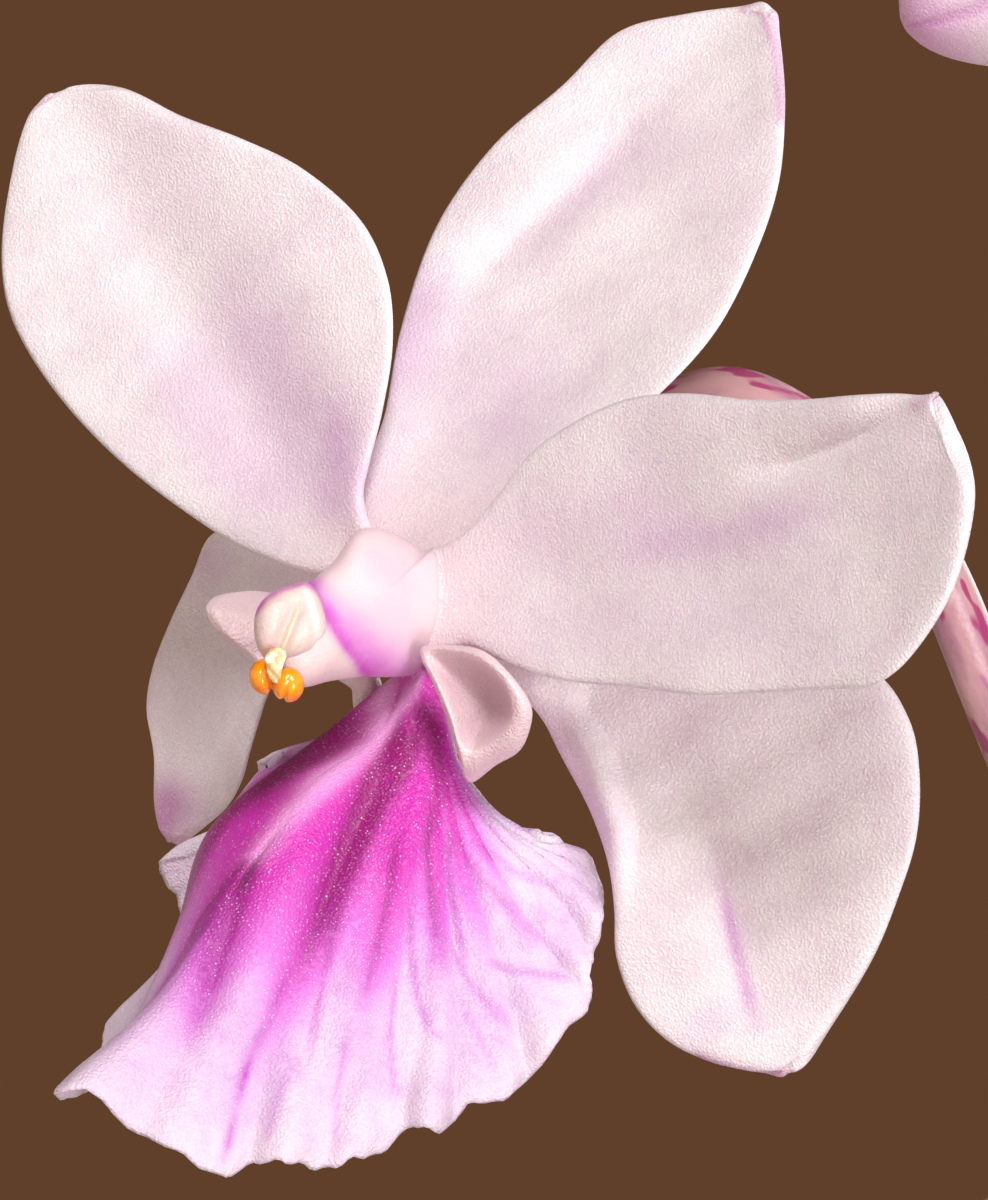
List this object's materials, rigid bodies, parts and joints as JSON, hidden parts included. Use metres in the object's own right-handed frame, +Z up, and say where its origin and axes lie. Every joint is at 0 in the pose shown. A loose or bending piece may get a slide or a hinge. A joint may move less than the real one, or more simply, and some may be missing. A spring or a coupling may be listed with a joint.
{
  "type": "potted holcoglossum orchid",
  "caption": "Orchid plant in flower in a plain clay pot: narrow arching leaves, grey-white roots on bark, and a spike of pink-white flowers with magenta lips.",
  "frame": {"origin": "middle of the pot's underside", "axes": "+Z up; the flowers face -Y, the nearest of them turned to -X; the leaves' two ranks lie along +X and -X"},
  "size_m": [0.3731, 0.104, 0.338],
  "materials": {
    "clay": "matte, unglazed",
    "bark": "rough",
    "root": "matte, papery",
    "stem": "satin",
    "leaf": "satin, leathery",
    "flower_spike": "satin",
    "pedicel": "satin",
    "tepal": "glittering, soft",
    "lip": "glittering, soft",
    "column": "waxy",
    "anther_cap": "waxy",
    "pollinia": "glossy, waxy",
    "stipe": "wet, translucent",
    "bud": "waxy"
  },
  "bodies": {
    "root": {"pot": "clay", "bark": "bark", "root_1": "root", "root_2": "root", "root_3": "root", "root_4": "root", "root_5": "root", "stem": "stem", "leaf_1": "leaf", "leaf_2": "leaf", "leaf_3": "leaf", "leaf_4": "leaf", "leaf_5": "leaf", "leaf_6": "leaf", "leaf_7": "leaf", "leaf_8": "leaf", "flower_spike": "flower_spike", "flower_1_pedicel": "pedicel", "flower_2_pedicel": "pedicel", "flower_3_pedicel": "pedicel", "flower_4_pedicel": "pedicel", "bud_1_pedicel": "pedicel", "bud_2_pedicel": "pedicel", "bud_3_pedicel": "pedicel", "flower_1_dorsal_sepal": "tepal", "flower_1_left_petal": "tepal", "flower_1_right_petal": "tepal", "flower_1_left_lateral_sepal": "tepal", "flower_1_right_lateral_sepal": "tepal", "flower_2_dorsal_sepal": "tepal", "flower_2_left_petal": "tepal", "flower_2_right_petal": "tepal", "flower_2_left_lateral_sepal": "tepal", "flower_2_right_lateral_sepal": "tepal", "flower_3_dorsal_sepal": "tepal", "flower_3_left_petal": "tepal", "flower_3_right_petal": "tepal", "flower_3_left_lateral_sepal": "tepal", "flower_3_right_lateral_sepal": "tepal", "flower_4_dorsal_sepal": "tepal", "flower_4_left_petal": "tepal", "flower_4_right_petal": "tepal", "flower_4_left_lateral_sepal": "tepal", "flower_4_right_lateral_sepal": "tepal", "flower_1_lip": "lip", "flower_2_lip": "lip", "flower_3_lip": "lip", "flower_4_lip": "lip", "flower_1_column": "column", "flower_2_column": "column", "flower_3_column": "column", "flower_4_column": "column", "flower_1_anther_cap": "anther_cap", "flower_1_pollinium_1": "pollinia", "flower_1_pollinium_2": "pollinia", "flower_1_stipe": "stipe", "bud_1": "bud", "bud_2": "bud", "bud_3": "bud"}
  },
  "joints": []
}
